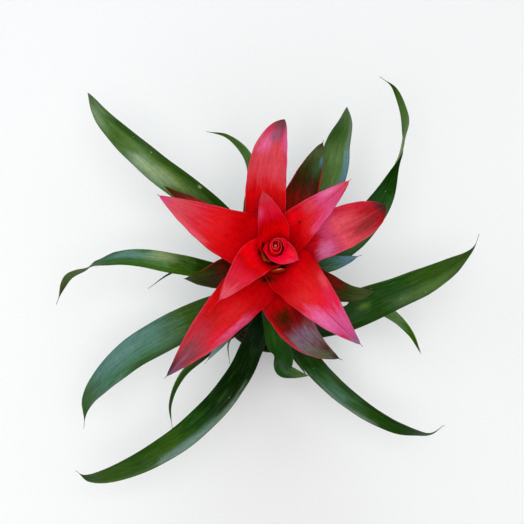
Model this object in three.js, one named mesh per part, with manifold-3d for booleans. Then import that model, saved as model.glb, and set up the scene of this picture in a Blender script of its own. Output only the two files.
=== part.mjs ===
import * as THREE from 'three';
import Module from 'manifold-3d';
import { mergeVertices } from 'three/addons/utils/BufferGeometryUtils.js';

const wasm = await Module();
wasm.setup();

// Millimetres, +Z up. The origin is the middle of the pot's underside, on the surface that it stands on.
// Bearings are degrees anticlockwise from +X, seen from above, and the flower stem is the Z axis.

// Pot
const potHeight = 105;
const potRimRadius = 61;
const potFootRadius = 44;
const potWall = 1.6;
const potFloor = 2.4;
const potBandHeight = 13;
const potBandStep = 1.8;
const potLip = 1.2;
const potSides = 48;
const drainHoles = 6;
const drainRadius = 4.5;
const drainReach = 31;
const drainSides = 12;

// Potting mix, a little below the rim, with a hole for the foot of the stem
const clearance = 0.3;
const mixTop = 96;
const mixRings = 5;
const mixRelief = 1.6;
const mixCalmRadius = 16;
const mixRoughRadius = 24;
const mixWave = { x: 0.31, y: 0.27, shiftX: 1.3, shiftY: -0.6 };

// Flower stem
const stemTopRadius = 4.6;
const stemFootRadius = 6;
const stemFoot = 60;
const stemTop = 350;
const stemSides = 14;

// Blades
const leafThickness = 0.9;
const bractThickness = 0.8;
const tipWidth = 1;
const leafRows = 14;
const stemBladeRows = 11;
const floralRows = 5;
const bladeColumns = 6;
const rowCrowding = 1.3;

// Foliage sheaths nest round the foot of the stem, layer 1 the youngest and innermost
const innerSheathRadius = 6.6;
const sheathPitch = 1.6;
const sheathLean = 0.12;
const innerSheathLength = 44;
const sheathShortening = 4.2;
const sheathFoot = mixTop + 0.6;
const sheathHalfAngle = 0.9;
const sheathPoints = 4;

// Share of a blade's length in which it opens from the width of its sheath to its own
const foliageRelease = 0.3;
const claspRelease = 0.4;
const floralRelease = 0.1;

// Blades that clasp the stem lean out fast enough to leave room for the next one inside
const claspGap = 0.75;
const claspHalfAngle = 1.8;
const stemLeafClasp = { start: 196, step: 15, lean: 0.13, length: 20 };
const stemLeafChannel = 24;
const bractChannel = 32;
const bractClasp = { start: 284, step: 6.8, lean: 0.26, length: 21 };

// A blade is full up to a share of its length, then closes to its tip on a power curve
const TIPS = {
  broad: { full: 0.42, swell: 2.2, close: 0.9 },
  drawn: { full: 0.45, swell: 2, close: 1.15 },
  spear: { full: 0.35, swell: 1.9, close: 0.95 },
  slim: { full: 0.2, swell: 1.5, close: 1.1 },
  wedge: { full: 0.3, swell: 1.45, close: 0.95 },
  round: { full: 0.42, swell: 2.8, close: 0.72 },
  hood: { full: 0.5, swell: 1.9, close: 1.1 },
  scale: { full: 0.5, swell: 3, close: 0.6 },
};

// Colours
const TONES = {
  deep: 0x1c3a14,
  fresh: 0x33591f,
  blue: 0x2f5244,
  olive: 0x474a1e,
  wine: 0x5a2420,
  red: 0xc80c18,
  pink: 0xd42a4c,
};

// Foliage leaves, youngest first. A route row is reach, bearing and height along the middle of the blade.
// A roll row is a share of the length and the degrees that the blade has turned about its middle by then.
const FOLIAGE = [
  {
    name: 'leaf_back_short', layer: 1, width: 35, tip: 'broad', channel: 26, tone: 'blue',
    route: [
      [32, 57, 235], [58, 55, 262], [112, 59.5, 290],
      [138, 62, 285], [165, 64.5, 270], [188, 67, 250],
    ],
  },
  {
    name: 'leaf_front_curled', layer: 1, width: 27, tip: 'broad', channel: 18, tone: 'fresh',
    route: [
      [26, 272, 215], [50, 272, 238], [72, 273.5, 238],
      [84, 274, 230], [91, 276, 219], [97, 281, 211], [103, 290, 205],
    ],
  },
  {
    name: 'leaf_back_left_long', layer: 2, width: 29, tip: 'broad', channel: 26, tone: 'fresh',
    route: [
      [27, 129, 200], [59, 133, 233], [99, 137.5, 266],
      [157, 140, 290], [228, 138, 265], [274, 134.5, 230],
    ],
  },
  {
    name: 'leaf_right_wide', layer: 2, width: 34, tip: 'broad', channel: 30, release: 0.45, tone: 'deep',
    route: [
      [25, 298, 180], [53, 306, 212], [70, 320, 245], [88, 335, 272], [110, 345, 286],
      [146, 355.5, 280], [178, 2.8, 262], [198, 8, 250], [212, 13, 238],
    ],
  },
  {
    name: 'leaf_left_wide', layer: 3, width: 34, tip: 'drawn', channel: 30, tone: 'blue',
    route: [
      [36, 210, 198], [61, 211, 225], [104, 211, 262], [157, 211, 270],
      [198, 212, 248], [223, 214, 220], [242, 218, 195],
    ],
  },
  {
    name: 'leaf_back_right_twisted', layer: 3, width: 30, tip: 'spear', channel: 24, tone: 'deep',
    route: [
      [31, 28, 205], [55, 21, 232], [91, 25, 268], [126, 33.5, 288], [158, 40, 282],
      [178, 44, 274], [207, 50, 255], [233, 58, 235], [242, 63, 222],
    ],
    rolls: [[0.48, 0], [0.7, 85], [0.84, 120]],
  },
  {
    name: 'leaf_front_left_long', layer: 4, width: 27.5, tip: 'broad', channel: 26, tone: 'deep',
    route: [
      [27, 256, 170], [46, 254.5, 200], [76, 253, 236], [109, 251, 256], [149, 246.3, 270],
      [191, 240.5, 268], [234, 234, 250], [262, 229.7, 230], [274, 224.5, 204],
    ],
  },
  {
    name: 'leaf_back_small', layer: 4, width: 20, tip: 'slim', channel: 22, tone: 'deep',
    route: [
      [45, 104, 180], [68, 104, 202], [100, 101, 214],
      [133, 102.5, 212], [165, 107, 195], [183, 113, 178],
    ],
  },
  {
    name: 'leaf_left_twisted', layer: 5, width: 21, tip: 'spear', channel: 22, tone: 'deep',
    route: [
      [32, 178, 185], [50, 175, 210], [94, 175, 254], [143, 175, 266],
      [178, 176.5, 250], [193, 177.5, 238], [209, 180, 220], [224, 186, 195],
    ],
    rolls: [[0.64, 0], [0.82, 80], [0.93, 115]],
  },
  {
    name: 'leaf_right_small', layer: 5, width: 15, tip: 'slim', channel: 20, tone: 'fresh',
    route: [
      [29, 346, 175], [54, 351, 190], [84, 354, 202],
      [124, 345, 195], [150, 340, 178], [170, 336, 160],
    ],
  },
  {
    name: 'leaf_front_right_long', layer: 6, width: 21, tip: 'spear', channel: 24, tone: 'deep',
    route: [
      [35, 290, 160], [63, 293, 185], [90, 294.5, 203], [116, 297.6, 215], [155, 303.2, 221],
      [190, 309, 206], [211, 313, 191], [222, 316.6, 177], [228, 321, 163],
    ],
    rolls: [[0.76, 0], [0.95, -70]],
  },
  {
    name: 'leaf_left_needle', layer: 6, width: 8, tip: 'slim', channel: 20, tone: 'deep',
    route: [[30, 177, 165], [51, 175, 178], [87, 168, 192], [109, 173, 180], [133, 180, 162]],
  },
  {
    name: 'leaf_front_left_thin', layer: 7, width: 14, tip: 'slim', channel: 20, tone: 'deep',
    route: [
      [30, 232, 155], [54, 230, 175], [102, 226, 198],
      [134, 225, 200], [162, 229, 180], [184, 234, 155],
    ],
  },
  {
    name: 'leaf_front_narrow', layer: 8, width: 17, tip: 'slim', channel: 20, tone: 'fresh',
    route: [[33, 283, 140], [56, 285, 158], [76, 287, 168], [88, 289, 166], [99, 291, 158]],
  },
  {
    name: 'leaf_front_left_needle', layer: 9, width: 7, tip: 'slim', channel: 20, tone: 'blue',
    route: [[29, 222, 128], [53, 228, 145], [73, 231, 150], [91, 238, 132]],
  },
];

// Leaves that clasp the flower stem under the bloom, lowest first
const STEM_LEAVES = [
  {
    name: 'stem_leaf_right', width: 32, tip: 'spear', tone: 'blue',
    route: [[21, 18, 258], [43, 4, 280], [64, 5, 284], [85, 7, 280]],
  },
  {
    name: 'stem_leaf_front_left', width: 26, tip: 'spear', tone: 'blue',
    route: [[24, 228, 272], [56, 234, 292], [85, 234, 292], [115, 234, 282]],
  },
  {
    name: 'stem_leaf_front_right', width: 30, tip: 'spear', tone: 'olive',
    route: [[26, 338, 290], [52, 334.5, 318], [77, 335, 322], [99, 343, 314]],
  },
  {
    name: 'stem_leaf_left', width: 43, tip: 'spear', tone: 'olive',
    route: [[22, 197, 300], [46, 197, 326], [67, 194, 330], [87, 192, 322]],
  },
  {
    name: 'stem_leaf_back_right', width: 38, tip: 'spear', tone: 'wine',
    route: [[31, 62, 318], [62, 65, 346], [92, 67, 352], [117, 67.5, 346]],
  },
  {
    name: 'stem_leaf_back_left', width: 26, tip: 'spear', tone: 'wine',
    route: [[27, 148, 328], [69, 150, 354], [97, 149, 356], [121, 148, 350]],
  },
];

// Red bracts, lowest first
const BRACTS = [
  {
    name: 'bract_front', width: 42, tip: 'wedge', tone: 'red',
    route: [[36, 277, 338], [75, 287, 352], [95, 294, 348], [113, 303, 334]],
  },
  {
    name: 'bract_right', width: 44, tip: 'round', tone: 'red',
    route: [[30, 19, 348], [67, 19.3, 368], [89, 20.5, 370], [109, 21, 362]],
  },
  {
    name: 'bract_front_left', width: 46, tip: 'wedge', tone: 'red',
    route: [[29, 237, 350], [77, 231.5, 366], [118, 230, 362], [151, 229, 348]],
  },
  {
    name: 'bract_back', width: 38, tip: 'round', tone: 'red',
    route: [[33, 105, 358], [72, 96.3, 380], [102, 90.5, 380], [119, 85.5, 374]],
  },
  {
    name: 'bract_left', width: 50, tip: 'wedge', tone: 'red',
    route: [[25, 167, 362], [47, 166, 382], [83, 159.8, 386], [116, 155, 378]],
  },
  {
    name: 'bract_front_right', width: 50, tip: 'wedge', tone: 'pink',
    route: [[24, 302, 366], [56, 306.8, 382], [87, 309, 380], [115, 311.5, 368]],
  },
  {
    name: 'bract_back_right', width: 42, tip: 'wedge', tone: 'pink',
    route: [[22, 42, 376], [42, 40, 394], [63, 40, 398], [88, 41, 394]],
  },
  {
    name: 'bract_inner_left', width: 34, tip: 'wedge', tone: 'pink',
    route: [[16, 218, 371], [26, 220, 391], [44, 226, 404], [71, 229, 408]],
  },
  {
    name: 'bract_inner_back', width: 33, tip: 'wedge', tone: 'red',
    route: [[13.7, 107, 371], [18.7, 106, 386], [26, 105, 399], [49, 103, 411]],
  },
  {
    name: 'bract_inner_right', width: 44, tip: 'hood', tone: 'red', claspLength: 13,
    route: [[10, 321, 370], [11, 321, 384], [13.5, 321, 396], [19, 321, 404], [27.5, 321, 408]],
  },
];

// Small orange bracts that hold the flowers, in the gaps beside the rolled heart
const FLORAL_BRACTS = [
  { name: 'floral_bract_left', width: 12, route: [[10.3, 223, 358], [11.8, 223, 368], [14.5, 223, 384]] },
  { name: 'floral_bract_front', width: 13, route: [[11, 284, 346], [14, 284, 358], [18.5, 283, 372]] },
];
const floralChannel = 30;

// The heart is one young bract, still rolled up, that stands on the stem's tip round the flower bud
const heartFoot = stemTop + clearance;
const heartRim = 398;
const heartSlant = 3;
const heartFootRadius = 5.4;
const heartRimRadius = 7.2;
const heartWinding = 3.3;
const heartTurns = 1.7;
const heartRows = 4;
const heartColumns = 26;
const budRadius = 1.9;
const budFootRadius = 1.2;
const budShoulderRadius = 1.5;
const budTip = 394;
const budWaistShare = 0.5;
const budShoulderShare = 0.87;
const budSides = 8;

function place([reach, bearing, height]) {
  const angle = THREE.MathUtils.degToRad(bearing);
  return new THREE.Vector3(reach * Math.cos(angle), reach * Math.sin(angle), height);
}

function stemRadiusAt(height) {
  return THREE.MathUtils.mapLinear(height, stemFoot, stemTop, stemFootRadius, stemTopRadius);
}

// A sheath climbs in a straight line, leaning out, before the blade turns away
function sheathRoute(radius, bearing, foot, lean, length) {
  const row = (share) => [radius + lean * length * share, bearing, foot + length * share];
  return Array.from({ length: sheathPoints }, (_, i) => row(i / (sheathPoints - 1)));
}

function rollAt(rolls, s) {
  let degrees = 0;
  for (let i = 1; i < rolls.length; i += 1) {
    const [start, from] = rolls[i - 1];
    const [end, to] = rolls[i];
    degrees += (to - from) * THREE.MathUtils.smoothstep(s, start, end);
  }
  return THREE.MathUtils.degToRad(degrees);
}

function widthAt(blade, s) {
  const { full, swell, close } = TIPS[blade.tip];
  const past = Math.max(0, (s - full) / (1 - full));
  const free = blade.width * (1 - past ** swell) ** close;
  const open = THREE.MathUtils.smoothstep(s, 0, blade.release);
  return Math.max(tipWidth, THREE.MathUtils.lerp(blade.sheathWidth, free, open));
}

// A closed shell between two grids of points, split into triangles alike on both faces
function shellGeometry(upper, lower, rows, columns) {
  const under = upper.length;
  const at = (i, j) => i * (columns + 1) + j;
  const index = [];
  const quad = (a, b, c, d) => index.push(a, b, c, a, c, d);
  for (let i = 0; i < rows; i += 1) {
    for (let j = 0; j < columns; j += 1) {
      const [a, b, c, d] = [at(i, j), at(i + 1, j), at(i + 1, j + 1), at(i, j + 1)];
      quad(a, b, c, d);
      index.push(under + a, under + c, under + b, under + a, under + d, under + c);
    }
    quad(at(i, 0), under + at(i, 0), under + at(i + 1, 0), at(i + 1, 0));
    quad(at(i + 1, columns), under + at(i + 1, columns), under + at(i, columns), at(i, columns));
  }
  for (let j = 0; j < columns; j += 1) {
    quad(at(0, j), at(0, j + 1), under + at(0, j + 1), under + at(0, j));
    quad(at(rows, j + 1), at(rows, j), under + at(rows, j), under + at(rows, j + 1));
  }
  const geometry = new THREE.BufferGeometry().setFromPoints(upper.concat(lower));
  geometry.setIndex(index);
  geometry.computeVertexNormals();
  return geometry;
}

// A blade is lofted through arcs square to its route: they hug the stem, then open to the channel's radius
function bladeGeometry(blade) {
  const curve = new THREE.CatmullRomCurve3(blade.route.map(place), false, 'centripetal');
  const upper = [];
  const lower = [];
  for (let i = 0; i <= blade.rows; i += 1) {
    const s = 1 - (1 - i / blade.rows) ** rowCrowding;
    const middle = curve.getPointAt(s);
    const along = curve.getTangentAt(s);
    const level = new THREE.Vector3(0, 0, 1).cross(along).normalize();
    const across = level.applyAxisAngle(along, rollAt(blade.rolls ?? [], s));
    const facing = along.clone().cross(across);
    const bend = Math.min(Math.hypot(middle.x, middle.y), blade.channel);
    const half = widthAt(blade, s) / 2 / bend;
    for (let j = 0; j <= bladeColumns; j += 1) {
      const turn = half * (2 * j / bladeColumns - 1);
      const inward = facing.clone().multiplyScalar(Math.cos(turn)).addScaledVector(across, -Math.sin(turn));
      const point = middle.clone().addScaledVector(facing, bend).addScaledVector(inward, -bend);
      upper.push(point);
      lower.push(point.clone().addScaledVector(inward, -blade.thickness));
    }
  }
  return shellGeometry(upper, lower, blade.rows, bladeColumns);
}

function foliageGeometry(leaf) {
  const radius = innerSheathRadius + sheathPitch * (leaf.layer - 1);
  const length = innerSheathLength - sheathShortening * (leaf.layer - 1);
  const sheath = sheathRoute(radius, leaf.route[0][1], sheathFoot, sheathLean, length);
  const sheathWidth = Math.min(leaf.width, 2 * radius * sheathHalfAngle);
  const shape = { release: foliageRelease, rows: leafRows, thickness: leafThickness, sheathWidth };
  return bladeGeometry({ ...shape, ...leaf, route: sheath.concat(leaf.route) });
}

// Blades on the flower stem follow each other up it, a step apart
function claspingGeometry(blade, order, clasp, thickness) {
  const foot = clasp.start + clasp.step * order;
  const radius = stemRadiusAt(foot) + claspGap;
  const length = blade.claspLength ?? clasp.length;
  const sheath = sheathRoute(radius, blade.route[0][1], foot, clasp.lean, length);
  const sheathWidth = 2 * radius * claspHalfAngle;
  const shape = { release: claspRelease, rows: stemBladeRows, thickness, sheathWidth };
  return bladeGeometry({ ...shape, ...blade, route: sheath.concat(blade.route) });
}

function stemLeafGeometry(leaf, order) {
  return claspingGeometry({ ...leaf, channel: stemLeafChannel }, order, stemLeafClasp, leafThickness);
}

function bractGeometry(bract, order) {
  return claspingGeometry({ ...bract, channel: bractChannel }, order, bractClasp, bractThickness);
}

function floralBractGeometry(bract) {
  const shape = { tip: 'scale', channel: floralChannel, release: floralRelease, rows: floralRows };
  return bladeGeometry({ ...shape, ...bract, sheathWidth: bract.width, thickness: bractThickness });
}

// One sheet wound inward from its outer edge, wider at its rim than at its foot
function heartGeometry() {
  const outer = [];
  const inner = [];
  for (let i = 0; i <= heartRows; i += 1) {
    const rise = i / heartRows;
    for (let j = 0; j <= heartColumns; j += 1) {
      const wound = j / heartColumns;
      const radius = THREE.MathUtils.lerp(heartFootRadius, heartRimRadius, rise) - heartWinding * wound;
      const rim = heartRim - heartSlant * (1 - wound);
      const height = THREE.MathUtils.lerp(heartFoot, rim, rise);
      const bearing = 360 * heartTurns * wound;
      outer.push(place([radius, bearing, height]));
      inner.push(place([radius - bractThickness, bearing, height]));
    }
  }
  return shellGeometry(inner, outer, heartRows, heartColumns);
}

// A profile of radius and height, turned about the Z axis
function turnedGeometry(profile, sides) {
  const points = profile.map(([radius, height]) => new THREE.Vector2(radius, height));
  return new THREE.LatheGeometry(points, sides).rotateX(Math.PI / 2);
}

function budGeometry() {
  const waist = THREE.MathUtils.lerp(heartFoot, budTip, budWaistShare);
  const shoulder = THREE.MathUtils.lerp(heartFoot, budTip, budShoulderShare);
  const foot = [[0, heartFoot], [budFootRadius, heartFoot]];
  const profile = foot.concat([[budRadius, waist], [budShoulderRadius, shoulder], [0, budTip]]);
  return turnedGeometry(profile, budSides);
}

function stemGeometry() {
  const rod = new THREE.CylinderGeometry(stemTopRadius, stemFootRadius, stemTop - stemFoot, stemSides);
  return rod.rotateX(Math.PI / 2).translate(0, 0, (stemTop + stemFoot) / 2);
}

function potWallRadius(height) {
  return THREE.MathUtils.mapLinear(height, 0, potHeight, potFootRadius, potRimRadius - potBandStep);
}

function potBoreRadius(height) {
  return potWallRadius(height) - potWall;
}

function toManifold(geometry) {
  const bare = geometry.clone();
  bare.deleteAttribute('normal');
  bare.deleteAttribute('uv');
  const merged = mergeVertices(bare, 1e-3);
  return new wasm.Manifold(new wasm.Mesh({
    numProp: 3,
    vertProperties: Float32Array.from(merged.attributes.position.array),
    triVerts: Uint32Array.from(merged.index.array),
  }));
}

function fromManifold(solid) {
  const mesh = solid.getMesh();
  const geometry = new THREE.BufferGeometry();
  geometry.setAttribute('position', new THREE.BufferAttribute(mesh.vertProperties, mesh.numProp));
  geometry.setIndex(Array.from(mesh.triVerts));
  geometry.computeVertexNormals();
  return geometry;
}

function potGeometry() {
  const bandFoot = potHeight - potBandHeight;
  const profile = [
    [0, 0], [potFootRadius, 0],
    [potWallRadius(bandFoot), bandFoot], [potWallRadius(bandFoot) + potBandStep, bandFoot],
    [potRimRadius, potHeight - potLip], [potRimRadius - potLip, potHeight],
    [potBoreRadius(potHeight), potHeight], [potBoreRadius(potFloor), potFloor], [0, potFloor],
  ];
  let solid = toManifold(turnedGeometry(profile, potSides));
  for (let i = 0; i < drainHoles; i += 1) {
    const drill = new THREE.CylinderGeometry(drainRadius, drainRadius, 3 * potFloor, drainSides);
    const middle = place([drainReach, 360 * i / drainHoles, potFloor / 2]);
    drill.rotateX(Math.PI / 2).translate(middle.x, middle.y, middle.z);
    solid = solid.subtract(toManifold(drill));
  }
  return fromManifold(solid);
}

// The mix fills the pot, with a gently uneven top
function mixGeometry() {
  const holeRadius = stemFootRadius + clearance;
  const floor = potFloor + clearance;
  const profile = [[0, floor], [potBoreRadius(floor) - clearance, floor]];
  const topRadius = potBoreRadius(mixTop) - clearance;
  for (let i = 0; i <= mixRings; i += 1) {
    profile.push([THREE.MathUtils.lerp(topRadius, holeRadius, i / mixRings), mixTop]);
  }
  profile.push([holeRadius, stemFoot - clearance], [0, stemFoot - clearance]);
  const geometry = turnedGeometry(profile, potSides);
  const spots = geometry.attributes.position;
  for (let i = 0; i < spots.count; i += 1) {
    const [x, y, z] = [spots.getX(i), spots.getY(i), spots.getZ(i)];
    if (Math.abs(z - mixTop) < clearance) {
      const wave = Math.sin(mixWave.x * x + mixWave.shiftX) * Math.cos(mixWave.y * y + mixWave.shiftY);
      const share = THREE.MathUtils.smoothstep(Math.hypot(x, y), mixCalmRadius, mixRoughRadius);
      spots.setZ(i, z + mixRelief * share * wave);
    }
  }
  return geometry;
}

function leafSkin(tone) {
  return new THREE.MeshStandardMaterial({ color: TONES[tone], roughness: 0.38, metalness: 0 });
}

function bractSkin(tone) {
  return new THREE.MeshStandardMaterial({ color: TONES[tone], roughness: 0.42, metalness: 0 });
}

function plain(color, roughness) {
  return new THREE.MeshStandardMaterial({ color, roughness, metalness: 0 });
}

const group = new THREE.Group();

function add(name, geometry, material) {
  const mesh = new THREE.Mesh(geometry, material);
  mesh.name = name;
  group.add(mesh);
}

add('pot', potGeometry(), plain(0x140c0a, 0.45));
add('potting_mix', mixGeometry(), plain(0x22160e, 0.9));
add('flower_stem', stemGeometry(), plain(0x40551f, 0.5));
FOLIAGE.forEach((leaf) => add(leaf.name, foliageGeometry(leaf), leafSkin(leaf.tone)));
STEM_LEAVES.forEach((leaf, i) => add(leaf.name, stemLeafGeometry(leaf, i), leafSkin(leaf.tone)));
BRACTS.forEach((bract, i) => add(bract.name, bractGeometry(bract, i), bractSkin(bract.tone)));
FLORAL_BRACTS.forEach((bract) => add(bract.name, floralBractGeometry(bract), plain(0xb04a10, 0.5)));
add('bract_rolled_heart', heartGeometry(), bractSkin('red'));
add('flower_bud', budGeometry(), plain(0xc08a50, 0.5));

export default group;
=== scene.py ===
import math
import random

import bpy
import numpy as np
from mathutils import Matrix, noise


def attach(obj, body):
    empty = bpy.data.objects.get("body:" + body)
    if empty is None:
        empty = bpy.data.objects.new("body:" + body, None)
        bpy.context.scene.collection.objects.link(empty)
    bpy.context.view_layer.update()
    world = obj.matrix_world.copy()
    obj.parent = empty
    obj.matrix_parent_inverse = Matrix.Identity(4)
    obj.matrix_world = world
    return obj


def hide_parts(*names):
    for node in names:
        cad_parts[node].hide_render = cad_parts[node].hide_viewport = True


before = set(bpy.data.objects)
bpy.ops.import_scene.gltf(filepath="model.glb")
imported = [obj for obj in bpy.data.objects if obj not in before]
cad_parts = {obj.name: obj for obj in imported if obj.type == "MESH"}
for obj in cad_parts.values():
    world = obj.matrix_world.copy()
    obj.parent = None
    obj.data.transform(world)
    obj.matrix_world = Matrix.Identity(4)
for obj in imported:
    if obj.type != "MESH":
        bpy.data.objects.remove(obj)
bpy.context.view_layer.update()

# Lengths in the tables are millimetres, and every mesh is written in metres, in the frame of the CAD nodes.
# Bearings are degrees anticlockwise from +X, seen from above, and the flower stem is the Z axis.
MM = 0.001
CLEARANCE = 0.3
FLOOR_REACH = 4000

# Pot
POT_HEIGHT = 105
POT_RIM = 61
POT_FOOT = 44
POT_WALL = 1.6
POT_FLOOR = 2.4
POT_BAND = 13
POT_STEP = 1.8
POT_SIDES = 144
DRAIN_HOLES = 6
DRAIN_RADIUS = 4.5
DRAIN_REACH = 31
DRAIN_SIDES = 32

# Potting mix
MIX_TOP = 96
MIX_HOLE = 6.3
MIX_SIDES = 160
MIX_RINGS = 44
MIX_CRUMBS = 420
MIX_SEED = 11
CRUMB_REACH = (18, 54)
CRUMB_SIZE = (0.9, 2.6)

# Flower stem
STEM_FOOT = 60
STEM_TOP = 350
STEM_FOOT_RADIUS = 6
STEM_TOP_RADIUS = 4.6
STEM_SIDES = 54
STEM_RINGS = 60

# Blades: the sheaths of the foliage nest, and the leaves and bracts on the stem follow each other up it
LEAF_THICKNESS = 0.9
BRACT_THICKNESS = 0.8
THREAD_WIDTH = 0.45
MARGIN_THINNING = 0.62
BLADE_ROWS = 104
BLADE_COLUMNS = 28
ROW_CROWDING = 1.3
ROUTE_STEPS = 201
SHEATH_RADIUS = 6.6
SHEATH_PITCH = 1.6
SHEATH_LEAN = 0.12
SHEATH_LENGTH = 44
SHEATH_SHORTENING = 4.2
SHEATH_FOOT = MIX_TOP + 0.6
SHEATH_HALF_ANGLE = 0.9
CLASP_GAP = 0.75
CLASP_HALF_ANGLE = 1.8

# Relief of a blade's skin
CREASE_DEPTH = 0.35
CREASE_SPREAD = 0.07
PLEAT_HEIGHT = 0.12
PLEATS = 3.5
RIPPLE_HEIGHT = 0.3
RIPPLES = 9
RIPPLE_FADING = 6

# Share of the length at which a blade starts to close, and the curve that it closes on
TIPS = {
    "broad": (0.42, 2.2, 0.9), "blunt": (0.42, 2.6, 0.85), "full": (0.5, 2.4, 0.9), "strap": (0.5, 2.2, 1.1),
    "drawn": (0.45, 2, 1.15), "lance": (0.35, 1.5, 1.05), "kite": (0.42, 1.05, 1), "spear": (0.35, 1.9, 0.95),
    "slim": (0.2, 1.5, 1.1), "wedge": (0.3, 1.45, 0.95), "flame": (0.38, 1.8, 1.15), "hood": (0.5, 1.9, 1.1),
    "spire": (0.35, 1.5, 1.1), "round": (0.42, 2.8, 0.72), "scale": (0.5, 3, 0.6),
}

# Heart: one sheet wound inward round the bud. It swells below its rim, and its outer turn leans off the axis.
HEART_FOOT = STEM_TOP + CLEARANCE
HEART_RIM = 393
HEART_SLANT = 3
HEART_FOOT_RADIUS = 5.4
HEART_RIM_RADIUS = 7.2
HEART_WINDING = 4.4
HEART_TURNS = 2.1
HEART_OVAL = 0.12
HEART_SWELL = 1.3
HEART_LEAN = (1.2, -1.9, 0)
HEART_WAVE = 0.5
HEART_WAVES = 9
HEART_LENGTH = 50
HEART_SPREAD = 60
HEART_ROWS = 40
HEART_COLUMNS = 200
BUD_RADIUS = 1.9
BUD_TIP = 390
BUD_SIDES = 36
BUD_RINGS = 40

# Camera and lamps, in metres. The camera is high over the front of the plant, as the photograph was taken.
CAMERA_PLACE = (-0.012, -0.22713, 1.47928)
CAMERA_TILT = 11
CAMERA_FIELD = 23.485
LAMP_DISTANCE = 2.0
LAMP_AIM = (0, 0, 0.25)

# Colours, as red, green and blue of 255
# Near-black green: the leaves' own dark rims and ribs, and also painted shade at the leaves' feet and in
# small dark holes painted on bracts
INK = (13, 38, 4)
DEEP = (22, 52, 6)
BOTTLE = (28, 64, 14)
LEAF = (38, 68, 14)
MOSS = (50, 78, 18)
CLOVER = (36, 84, 18)
GRASS = (56, 92, 12)
FRESH = (62, 92, 34)
LIME = (84, 112, 44)
MEADOW = (78, 106, 52)
SAGE = (90, 122, 74)
# Painted sheen: the next two colours stand for the window's pale bluish reflection on the leaves
SHEEN_GREY = (102, 124, 104)
SHEEN_PALE = (122, 148, 146)
PALE = (132, 150, 106)
FERN = (56, 92, 54)
# The next three colours are used only as painted sheen: the window's bluish reflection on the leaves
TEAL = (70, 110, 92)
MIST = (88, 124, 116)
SLATE = (84, 123, 139)
OLIVE = (48, 60, 16)
KHAKI = (70, 80, 44)
UMBER = (44, 34, 4)
BROWN = (80, 27, 8)
RUSSET = (138, 28, 8)
SCORCH = (50, 32, 32)
BARK = (112, 24, 12)
RED = (198, 5, 15)
BLOOD = (184, 2, 6)
SCARLET = (234, 4, 16)
# Painted light: a red brighter than the bracts' own, used at their shaded feet and on the heart's outer wall
# to stand for light shining through them
FLAME = (254, 8, 30)
MAGENTA = (230, 3, 46)
CHERRY = (206, 12, 42)
CRIMSON = (182, 8, 36)
BRICK = (194, 30, 50)
CORAL = (192, 58, 68)
BLUSH = (212, 78, 92)
CERISE = (194, 44, 84)
ROSE = (192, 62, 104)
PINK = (198, 78, 130)
ORCHID = (214, 104, 154)
# Painted highlight: a pale pink glint of the lamps on a bract
PINK_HIGHLIGHT = (242, 152, 208)
RUBY = (186, 18, 32)
GARNET = (158, 12, 22)
OXBLOOD = (114, 10, 12)
CLARET = (164, 46, 58)
STAIN = (114, 60, 66)
PLUM = (104, 68, 84)
MAUVE = (116, 76, 108)
HEATHER = (148, 90, 126)
LILAC = (148, 114, 166)
LICHEN = (88, 94, 74)
STONE = (112, 98, 106)
RUST = (200, 70, 24)
EMBER = (168, 52, 16)
TAN = (214, 162, 116)
CREAM = (226, 190, 150)
COAL = (24, 14, 11)
SOOT = (32, 20, 17)
DUST = (56, 44, 38)
PEAT = (20, 12, 7)
LOAM = (44, 28, 17)
CHIP = (78, 54, 34)
PAPER = (243, 243, 242)
CHALK = (247, 247, 246)


def tone(colour):
    """A colour of 255 as the linear values that a material takes."""
    return tuple((c / 255) ** 2.2 for c in colour) + (1.0,)


def smoothstep(x, low, high):
    t = np.clip((x - low) / (high - low), 0, 1)
    return t * t * (3 - 2 * t)


def lerp(a, b, share):
    return a + (b - a) * share


def place(reach, bearing, height):
    angle = math.radians(bearing)
    return reach * math.cos(angle), reach * math.sin(angle), height


class Route:
    """A centripetal Catmull-Rom curve through its rows, read by the share of its length."""

    def __init__(self, rows):
        points = np.array([place(*row) for row in rows], float)
        self.rows = np.vstack([2 * points[0] - points[1], points, 2 * points[-1] - points[-2]])
        self.last = len(points) - 1
        self.steps = np.linspace(0, 1, ROUTE_STEPS)
        pieces = np.linalg.norm(np.diff(self.at(self.steps), axis=0), axis=1)
        travelled = np.concatenate([[0], np.cumsum(pieces)])
        self.length = travelled[-1]
        self.shares = travelled / self.length

    def at(self, step):
        spot = np.clip(step, 0, 1) * self.last
        i = np.minimum(spot.astype(int), self.last - 1)
        w = (spot - i)[:, None]
        a, b, c, d = (self.rows[i + k] for k in range(4))
        ab, bc, cd = (np.sum((v - u) ** 2, axis=1)[:, None] ** 0.25 for u, v in ((a, b), (b, c), (c, d)))
        start = ((b - a) / ab - (c - a) / (ab + bc) + (c - b) / bc) * bc
        end = ((c - b) / bc - (d - b) / (bc + cd) + (d - c) / cd) * bc
        return b + start * w + (3 * (c - b) - 2 * start - end) * w**2 + (2 * (b - c) + start + end) * w**3

    def point(self, share):
        return self.at(np.interp(share, self.shares, self.steps))

    def along(self, share):
        step = np.interp(share, self.shares, self.steps)
        way = self.at(step + 1e-4) - self.at(step - 1e-4)
        return way / np.linalg.norm(way, axis=1)[:, None]


def scene_object(name, data):
    thing = bpy.data.objects.new(name, data)
    bpy.context.scene.collection.objects.link(thing)
    return thing


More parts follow.
